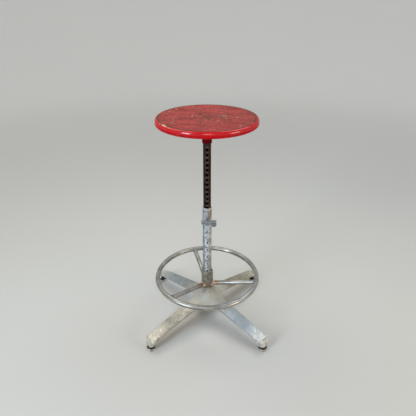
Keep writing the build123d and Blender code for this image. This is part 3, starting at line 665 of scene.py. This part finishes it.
def leg_metal():
    """Dull mottled plating on the leg pressings, with painted bluish light on two legs and yellowish light
    on one, scraped bright near the feet.
    """
    finish, tree, shader, place = start_finish("leg_metal", 0.5, 0.5)
    x, y, z = sides(tree, place)
    radius = axis_distance(tree, place)
    cloud = patches(tree, place, (0.07, 0.05, 0.05), 5.0, rough=0.6)
    mottle = patches(tree, place, 0.011, 6.0, rough=0.7)
    grain = patches(tree, place, 0.0019, 4.0, rough=0.72)
    rolled = patches(tree, place, (0.0026, 0.05, 0.03), 3.0, 45.0)
    colour = over(tree, rise(tree, cloud, 0.3, 0.7), tint(150, 148, 140), tint(188, 185, 174))
    dark_mottle = both(tree, rise(tree, mottle, 0.46, 0.60), rise(tree, radius, 0.07, 0.14))
    colour = laid(tree, colour, dark_mottle, 0.55, tint(120, 118, 111))
    # Painted light: bluish on the front right and rear left legs, yellowish on the rear right leg.
    corner = figure(tree, "MULTIPLY", x, y)
    bluish_light = rise(tree, corner, -0.002, -0.010)
    colour = laid(tree, colour, bluish_light, 0.38, tint(154, 176, 198))
    yellowish_light = both(tree, rise(tree, corner, 0.002, 0.010), rise(tree, y, 0.0, 0.05))
    colour = laid(tree, colour, yellowish_light, 0.38, tint(152, 140, 104))
    crown = rise(tree, radius, 0.12, 0.06)
    colour = laid(tree, colour, crown, 0.5, tint(204, 204, 198))

    # Bright wear towards the feet, scratches and scrapes, and a painted glint on one foot
    foot = rise(tree, radius, FOOT_ZONE - 0.03, FOOT_ZONE + 0.05)
    kicked = both(tree, foot, rise(tree, mottle, 0.38, 0.62))
    colour = laid(tree, colour, kicked, 0.85, tint(232, 227, 214))
    lines = both(tree, scratches(tree, place, LEG_SCRATCHES), rise(tree, radius, 0.08, 0.22))
    colour = laid(tree, colour, lines, 0.8, tint(232, 228, 220))
    to_scrape = figure(tree, "MINIMUM", *[near(tree, place, *mark) for mark in LEG_SCRAPES])
    scrape = both(tree, rise(tree, to_scrape, 1.0, 0.6), rise(tree, grain, 0.34, 0.46))
    colour = over(tree, scrape, colour, tint(250, 247, 240))
    # Painted glint on the side of the rear left foot.
    painted_glint = rise(tree, near(tree, place, GLINT_CENTRE, GLINT_SIZE), 1.0, 0.6)
    colour = over(tree, painted_glint, colour, tint(254, 254, 252))

    # Grime at the column, painted shade on the side walls below the legs' tops, and brown spots
    grime = both(tree, rise(tree, radius, 0.044, 0.024), rise(tree, mottle, 0.40, 0.60))
    colour = laid(tree, colour, grime, 0.45, tint(136, 112, 86))
    leg_top = figure(tree, "MULTIPLY_ADD", radius, -LEG_SLOPE, LEG_TOP_AT_AXIS)
    # Painted shade: the side walls below the legs' tops are darker.
    shaded_wall = both(
        tree,
        rise(tree, figure(tree, "SUBTRACT", leg_top, z), 0.003, 0.008),
        rise(tree, radius, 0.075, 0.11),
        rise(tree, radius, 0.296, 0.276),
    )
    colour = laid(tree, colour, shaded_wall, 0.7, tint(104, 101, 94))
    dot, own = pits(tree, place, 0.009)
    spot = both(tree, rise(tree, dot, 0.18, 0.09), rise(tree, own, 0.66, 0.72))
    colour = laid(tree, colour, spot, 0.75, tint(92, 76, 60))

    soiled = figure(tree, "MULTIPLY", either(tree, grime, spot), 0.15)
    rough = figure(tree, "ADD", span(tree, mottle, 0.30, 0.52), soiled)
    rough = figure(tree, "SUBTRACT", rough, figure(tree, "MULTIPLY", lines, 0.12))
    rough = figure(tree, "MULTIPLY_ADD", crown, 0.18, rough)
    surface(tree, shader, colour, rough, [
        (figure(tree, "SUBTRACT", mottle, either(tree, lines, scrape)), 0.0005, 0.25),
        (rolled, 0.0003, 0.12),
        (grain, 0.0002, 0.25),
    ])
    return finish


def glide_steel():
    """Bright discs, hazed with brown and worn dark where they meet the floor."""
    finish, tree, shader, place = start_finish("glide_steel", 1.0, 0.3)
    _, _, z = sides(tree, place)
    haze = patches(tree, place, (0.008, 0.008, 0.004), 5.0, rough=0.65)
    grain = fine_grain(tree, place, 0.0014)
    colour = over(tree, rise(tree, haze, 0.4, 0.65), tint(204, 202, 198), tint(160, 152, 140))
    floor_wear = both(tree, rise(tree, z, 0.0024, 0.0004), rise(tree, grain, 0.3, 0.6))
    colour = laid(tree, colour, floor_wear, 0.7, tint(110, 96, 80))
    rough = span(tree, haze, 0.18, 0.46)
    surface(tree, shader, colour, rough, [(haze, 0.0003, 0.12), (grain, 0.0001, 0.25)])
    return finish


def cushion_rubber():
    """Black rubber greyed with floor dust."""
    finish, tree, shader, place = start_finish("cushion_rubber", 0.0, 0.7)
    dust = patches(tree, place, (0.009, 0.009, 0.004), 5.0, rough=0.65)
    grain = fine_grain(tree, place, 0.001)
    colour = over(tree, rise(tree, dust, 0.45, 0.7), tint(18, 18, 18), tint(52, 48, 43))
    surface(tree, shader, colour, span(tree, dust, 0.55, 0.85), [(grain, 0.0002, 0.35)])
    return finish


def small_zinc():
    """Dull zinc on screws and nuts, with brown in its grain."""
    finish, tree, shader, place = start_finish("small_zinc", 0.9, 0.42)
    spangle = patches(tree, place, 0.004, 5.0, rough=0.65)
    grain = fine_grain(tree, place, 0.0011)
    colour = over(tree, rise(tree, spangle, 0.36, 0.64), tint(132, 132, 130), tint(176, 174, 168))
    colour = laid(tree, colour, rise(tree, grain, 0.58, 0.7), 0.6, tint(96, 74, 54))
    surface(tree, shader, colour, span(tree, spangle, 0.30, 0.56), [(grain, 0.0002, 0.3)])
    return finish


def bare_steel():
    """Bare plate under the seat and the crown, blotched with light rust."""
    finish, tree, shader, place = start_finish("bare_steel", 0.8, 0.5)
    blotch = patches(tree, place, 0.02, 6.0, rough=0.65)
    grain = fine_grain(tree, place, 0.0016)
    colour = over(tree, rise(tree, grain, 0.35, 0.65), tint(104, 101, 97), tint(134, 130, 124))
    colour = laid(tree, colour, rise(tree, blotch, 0.54, 0.68), 0.7, tint(106, 70, 46))
    surface(tree, shader, colour, span(tree, blotch, 0.40, 0.70), [(grain, 0.0002, 0.3)])
    return finish


FINISH_OF_SLOT = {
    "seat_enamel": seat_enamel(),
    "collar_enamel": collar_enamel(),
    "post_steel": oiled_steel(),
    "column_plate": column_plate(),
    "latch_zinc": latch_zinc(),
    "ring_plate": ring_plate(),
    "hub_steel": hub_steel(),
    "braze": braze_metal(),
    "base_metal": leg_metal(),
    "glide_steel": glide_steel(),
    "glide_rubber": cushion_rubber(),
    "fastener_zinc": small_zinc(),
    "hidden_steel": bare_steel(),
}


def wear(piece, slot_name):
    """Give a piece the finish of one of the record's slots."""
    piece.data.materials.clear()
    piece.data.materials.append(FINISH_OF_SLOT[slot_name])


for row in frame["record"]["subparts"]:
    wear(nodes[row["node"]], row["material_slot"])


# Pieces that only the scene has: lumpy braze at the hub, weld rings at the hoop, the screw's thread


def start_fresh():
    """Nothing selected, out of edit mode."""
    if bpy.context.object is not None and bpy.context.object.mode != "OBJECT":
        bpy.ops.object.mode_set(mode="OBJECT")
    bpy.ops.object.select_all(action="DESELECT")


def bake_place():
    """Put the place, turn and scale of the selected piece into its mesh."""
    bpy.ops.object.transform_apply(location=True, rotation=True, scale=True)


def settle(piece, name, body, slot_name):
    """Name a finished piece, give it its slot's finish and let it ride on a body."""
    bake_place()
    piece.name = name
    piece.data.name = name
    wear(piece, slot_name)
    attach(piece, body)
    bpy.ops.object.shade_smooth()
    start_fresh()


def roughen(piece, voxel, lump_size, lump_height):
    """Turn a clean form into a lumpy one: one even skin, pushed in and out, then softened."""
    skin = piece.modifiers.new("skin", "REMESH")
    skin.mode = "VOXEL"
    skin.voxel_size = voxel
    bpy.ops.object.modifier_apply(modifier=skin.name)
    lumps = bpy.data.textures.new("lumps", "CLOUDS")
    lumps.noise_scale = lump_size
    lumps.noise_depth = 2
    push = piece.modifiers.new("push", "DISPLACE")
    push.texture = lumps
    push.texture_coords = "LOCAL"
    push.strength = lump_height
    push.mid_level = 0.5
    bpy.ops.object.modifier_apply(modifier=push.name)
    soften = piece.modifiers.new("soften", "SMOOTH")
    soften.factor = 0.5
    soften.iterations = 2
    bpy.ops.object.modifier_apply(modifier=soften.name)


start_fresh()
bpy.context.view_layer.objects.active = nodes["braze_beads"]
nodes["braze_beads"].select_set(True)
bpy.ops.object.duplicate()
braze = bpy.context.object
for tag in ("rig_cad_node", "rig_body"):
    del braze[tag]
braze.parent = None
bpy.ops.object.mode_set(mode="EDIT")
bpy.ops.mesh.select_all(action="SELECT")
bpy.ops.mesh.remove_doubles(threshold=MERGE_DISTANCE)
bpy.ops.object.mode_set(mode="OBJECT")
roughen(braze, voxel=0.0008, lump_size=0.005, lump_height=0.0016)
settle(braze, "braze_lumps", "ring", "braze")
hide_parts("braze_beads")

spoke_rise = RING_HEIGHT - SPOKE_ROOT_HEIGHT
spoke_length = hypot(RING_RADIUS, spoke_rise)
weld_reach = (spoke_length - RING_TUBE_RADIUS - WELD_STAND_OFF) / spoke_length
for number, angle in enumerate(SPOKE_ANGLES, start=1):
    outward = (cos(radians(angle)), sin(radians(angle)))
    start_fresh()
    bpy.ops.mesh.primitive_torus_add(
        location=(
            RING_RADIUS * weld_reach * outward[0],
            RING_RADIUS * weld_reach * outward[1],
            SPOKE_ROOT_HEIGHT + spoke_rise * weld_reach,
        ),
        rotation=(0.0, radians(90.0) - radians(WELD_TILT), radians(angle)),
        major_radius=SPOKE_RADIUS,
        minor_radius=WELD_SECTION,
        major_segments=48,
        minor_segments=12,
    )
    weld = bpy.context.object
    bake_place()
    roughen(weld, voxel=0.0006, lump_size=0.004, lump_height=0.0011)
    settle(weld, f"hoop_weld_{number}", "ring", "ring_plate")

start_fresh()
bpy.ops.mesh.primitive_circle_add(
    vertices=3,
    radius=SCREW_THREAD_SECTION,
    location=(SCREW_RADIUS, 0.0, 0.0),
    rotation=(radians(90.0), 0.0, 0.0),
)
thread = bpy.context.object
bake_place()
wind = thread.modifiers.new("wind", "SCREW")
wind.angle = radians(360.0)
wind.screw_offset = SCREW_THREAD_PITCH
wind.iterations = SCREW_THREAD_TURNS
wind.steps = SCREW_THREAD_STEPS
wind.render_steps = SCREW_THREAD_STEPS
bpy.ops.object.modifier_apply(modifier=wind.name)
bpy.ops.object.mode_set(mode="EDIT")
bpy.ops.mesh.select_all(action="SELECT")
bpy.ops.mesh.remove_doubles(threshold=MERGE_DISTANCE)
bpy.ops.mesh.select_all(action="DESELECT")
bpy.ops.mesh.select_non_manifold()
bpy.ops.mesh.edge_face_add()
bpy.ops.mesh.select_all(action="SELECT")
bpy.ops.mesh.normals_make_consistent(inside=False)
bpy.ops.object.mode_set(mode="OBJECT")
thread.rotation_euler = (0.0, radians(90.0), radians(SCREW_ANGLE))
thread.location = (
    SCREW_THREAD_START * cos(radians(SCREW_ANGLE)),
    SCREW_THREAD_START * sin(radians(SCREW_ANGLE)),
    SCREW_HEIGHT,
)
settle(thread, "clamp_screw_thread", "clamp_screw", "fastener_zinc")


# Floor, light and camera


def plain_paper():
    """Pale seamless paper with a faint unevenness, that glows a little far from the stool."""
    finish, tree, shader, place = start_finish("plain_paper", 0.0, 0.85)
    cloud = patches(tree, place, 0.9, 3.0)
    feed(tree, shader.inputs["Base Color"], over(tree, cloud, tint(209, 208, 205), tint(214, 213, 210)))
    ray = tree.nodes.new("ShaderNodeLightPath").outputs
    seen = either(tree, ray["Is Camera Ray"], ray["Is Glossy Ray"], ray["Is Transmission Ray"])
    far = rise(tree, axis_distance(tree, place), 0.8, 4.5)
    shader.inputs["Emission Color"].default_value = tint(231, 230, 228)
    glow = figure(tree, "MULTIPLY", both(tree, seen, far), PAPER_GLOW)
    feed(tree, shader.inputs["Emission Strength"], glow)
    return finish


start_fresh()
bpy.ops.mesh.primitive_circle_add(vertices=128, radius=PAPER_RADIUS, fill_type="NGON")
paper = bpy.context.object
bpy.ops.object.mode_set(mode="EDIT")
bpy.ops.mesh.select_mode(type="EDGE")
bpy.ops.mesh.select_all(action="SELECT")
bpy.ops.mesh.extrude_edges_move(TRANSFORM_OT_translate={"value": (0.0, 0.0, PAPER_HEIGHT)})
bpy.ops.mesh.select_all(action="DESELECT")
bpy.ops.object.mode_set(mode="OBJECT")
for edge in paper.data.edges:
    edge.select = all(paper.data.vertices[i].co.z < 0.01 for i in edge.vertices)
bpy.ops.object.mode_set(mode="EDIT")
bpy.ops.mesh.bevel(offset=PAPER_BEND, segments=24, affect="EDGES")
bpy.ops.object.mode_set(mode="OBJECT")
for face in paper.data.polygons:
    face.use_smooth = face.normal.z < 0.9999
paper.name = "paper_sweep"
paper.data.materials.append(plain_paper())
start_fresh()


def softbox(name, place, aim, width, height, power, colour, beam):
    """A soft rectangular lamp that looks at a point, with the width of its beam in degrees."""
    bpy.ops.object.light_add(type="AREA", location=place)
    lamp = bpy.context.object
    lamp.name = name
    lamp.data.shape = "RECTANGLE"
    lamp.data.size = width
    lamp.data.size_y = height
    lamp.data.energy = power
    lamp.data.color = colour
    lamp.data.spread = radians(beam)
    away = lamp.location - type(lamp.location)(aim)
    lamp.rotation_euler = away.to_track_quat("Z", "Y").to_euler()


softbox("window", (-2.0, -2.1, 1.5), STOOL_MIDDLE, 1.0, 1.6, 34.5, (0.78, 0.90, 1.0), NARROW_BEAM)
softbox("front_lamp", (0.1, -2.9, 2.1), STOOL_MIDDLE, 0.9, 0.9, 9.6, (1.0, 0.97, 0.93), NARROW_BEAM)
softbox("right_fill", (2.2, -1.3, 0.8), RING_LEVEL, 1.0, 1.2, 11.8, (1.0, 0.84, 0.64), NARROW_BEAM)
softbox("overhead_left", (-0.9, 0.8, 2.7), LEG_LEVEL, 1.5, 1.5, 24.0, (1.0, 0.93, 0.80), WIDE_BEAM)
softbox("overhead_right", (0.9, 0.8, 2.7), LEG_LEVEL, 1.5, 1.5, 24.0, (0.82, 0.93, 1.0), WIDE_BEAM)

world = bpy.data.worlds.new("studio")
bpy.context.scene.world = world
world.use_nodes = True
sky = world.node_tree.nodes["Background"]
sky.inputs["Color"].default_value = SKY_COLOUR
sky.inputs["Strength"].default_value = SKY_STRENGTH

bpy.ops.object.camera_add(
    location=CAMERA_PLACE,
    rotation=(radians(CAMERA_TILT), 0.0, radians(CAMERA_TURN)),
)
camera = bpy.context.object
camera.data.sensor_width = CAMERA_SENSOR
camera.data.lens = CAMERA_LENS
camera.data.clip_start = 0.05
camera.data.clip_end = 60.0
bpy.context.scene.camera = camera
bpy.context.scene.view_settings.view_transform = "Standard"
